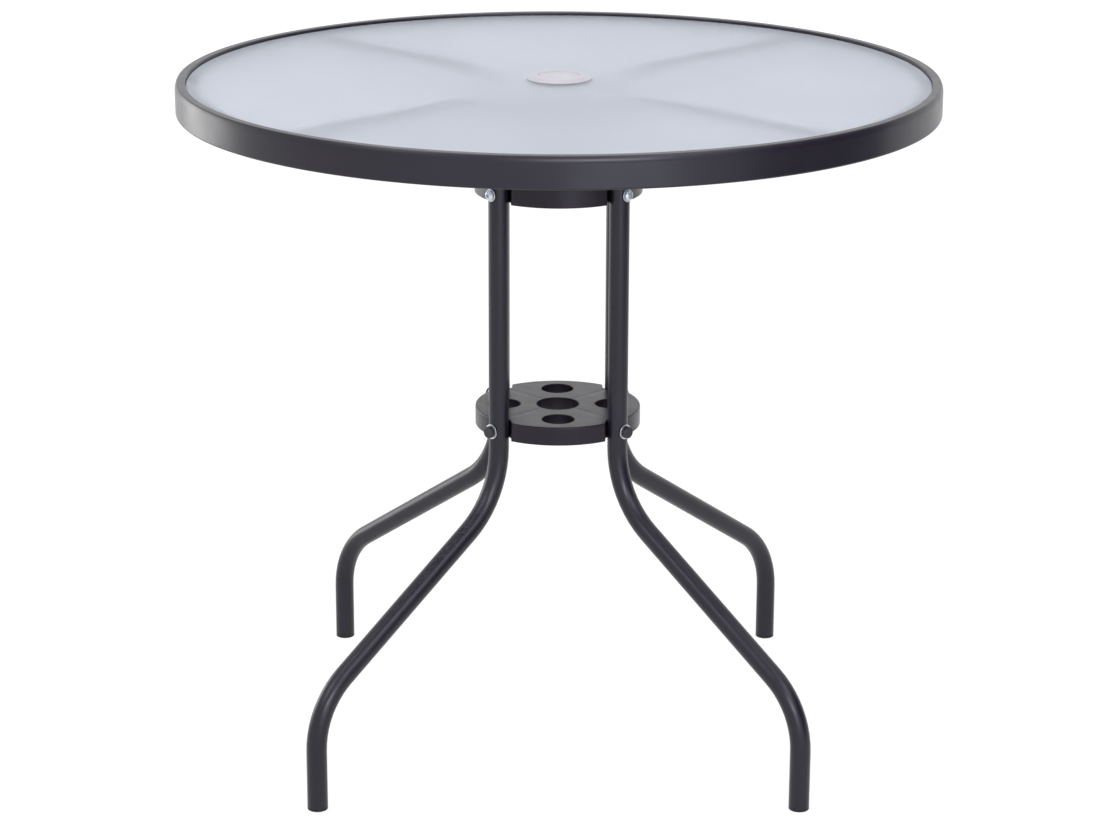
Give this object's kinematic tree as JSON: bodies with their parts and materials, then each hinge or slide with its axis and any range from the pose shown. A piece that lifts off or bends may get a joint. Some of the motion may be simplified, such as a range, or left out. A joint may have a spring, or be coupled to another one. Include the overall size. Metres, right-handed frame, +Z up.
{
  "type": "umbrella table",
  "caption": "Round patio table with a frosted glass top in a steel rim, a capped umbrella hole, and bent tube legs held apart by notched discs.",
  "frame": {"origin": "on the floor, under the middle of the round top", "axes": "+Z up, -Y towards the front as pictured, +X to the right; the legs stand on the diagonals"},
  "size_m": [0.8, 0.8, 0.723],
  "materials": {
    "powder_coat": "charcoal powder coat, satin",
    "frosted_glass": "tempered glass, frosted on its underside",
    "clear_plastic": "milky translucent plastic",
    "moulded_plastic": "charcoal moulded plastic, fine grain",
    "black_plastic": "dark moulded plastic",
    "zinc": "bright zinc plate"
  },
  "bodies": {
    "frame": {"rim_hoop": "powder_coat", "glass_pad_right": "clear_plastic", "glass_pad_back": "clear_plastic", "glass_pad_left": "clear_plastic", "glass_pad_front": "clear_plastic", "upper_disc": "moulded_plastic", "lower_disc": "moulded_plastic", "leg_back_right": "powder_coat", "foot_plug_back_right": "black_plastic", "arm_spigot_back_right": "powder_coat", "arm_screw_back_right": "zinc", "upper_washer_back_right": "zinc", "upper_bolt_back_right": "zinc", "upper_nut_back_right": "zinc", "lower_washer_back_right": "zinc", "lower_bolt_back_right": "zinc", "lower_nut_back_right": "zinc", "bolt_cap_back_right": "black_plastic", "leg_back_left": "powder_coat", "foot_plug_back_left": "black_plastic", "arm_spigot_back_left": "powder_coat", "arm_screw_back_left": "zinc", "upper_washer_back_left": "zinc", "upper_bolt_back_left": "zinc", "upper_nut_back_left": "zinc", "lower_washer_back_left": "zinc", "lower_bolt_back_left": "zinc", "lower_nut_back_left": "zinc", "bolt_cap_back_left": "black_plastic", "leg_front_left": "powder_coat", "foot_plug_front_left": "black_plastic", "arm_spigot_front_left": "powder_coat", "arm_screw_front_left": "zinc", "upper_washer_front_left": "zinc", "upper_bolt_front_left": "zinc", "upper_nut_front_left": "zinc", "lower_washer_front_left": "zinc", "lower_bolt_front_left": "zinc", "lower_nut_front_left": "zinc", "bolt_cap_front_left": "black_plastic", "leg_front_right": "powder_coat", "foot_plug_front_right": "black_plastic", "arm_spigot_front_right": "powder_coat", "arm_screw_front_right": "zinc", "upper_washer_front_right": "zinc", "upper_bolt_front_right": "zinc", "upper_nut_front_right": "zinc", "lower_washer_front_right": "zinc", "lower_bolt_front_right": "zinc", "lower_nut_front_right": "zinc", "bolt_cap_front_right": "black_plastic"},
    "glass": {"glass_top": "frosted_glass", "grommet": "clear_plastic"},
    "cap": {"hole_cap": "clear_plastic"}
  },
  "joints": [
    {"name": "glass_lift", "type": "slide", "parent": "frame", "child": "glass", "axis": [0, 0, 1], "range_m": [0, 0.06]},
    {"name": "cap_lift", "type": "slide", "parent": "glass", "child": "cap", "axis": [0, 0, 1], "range_m": [0, 0.04]}
  ]
}
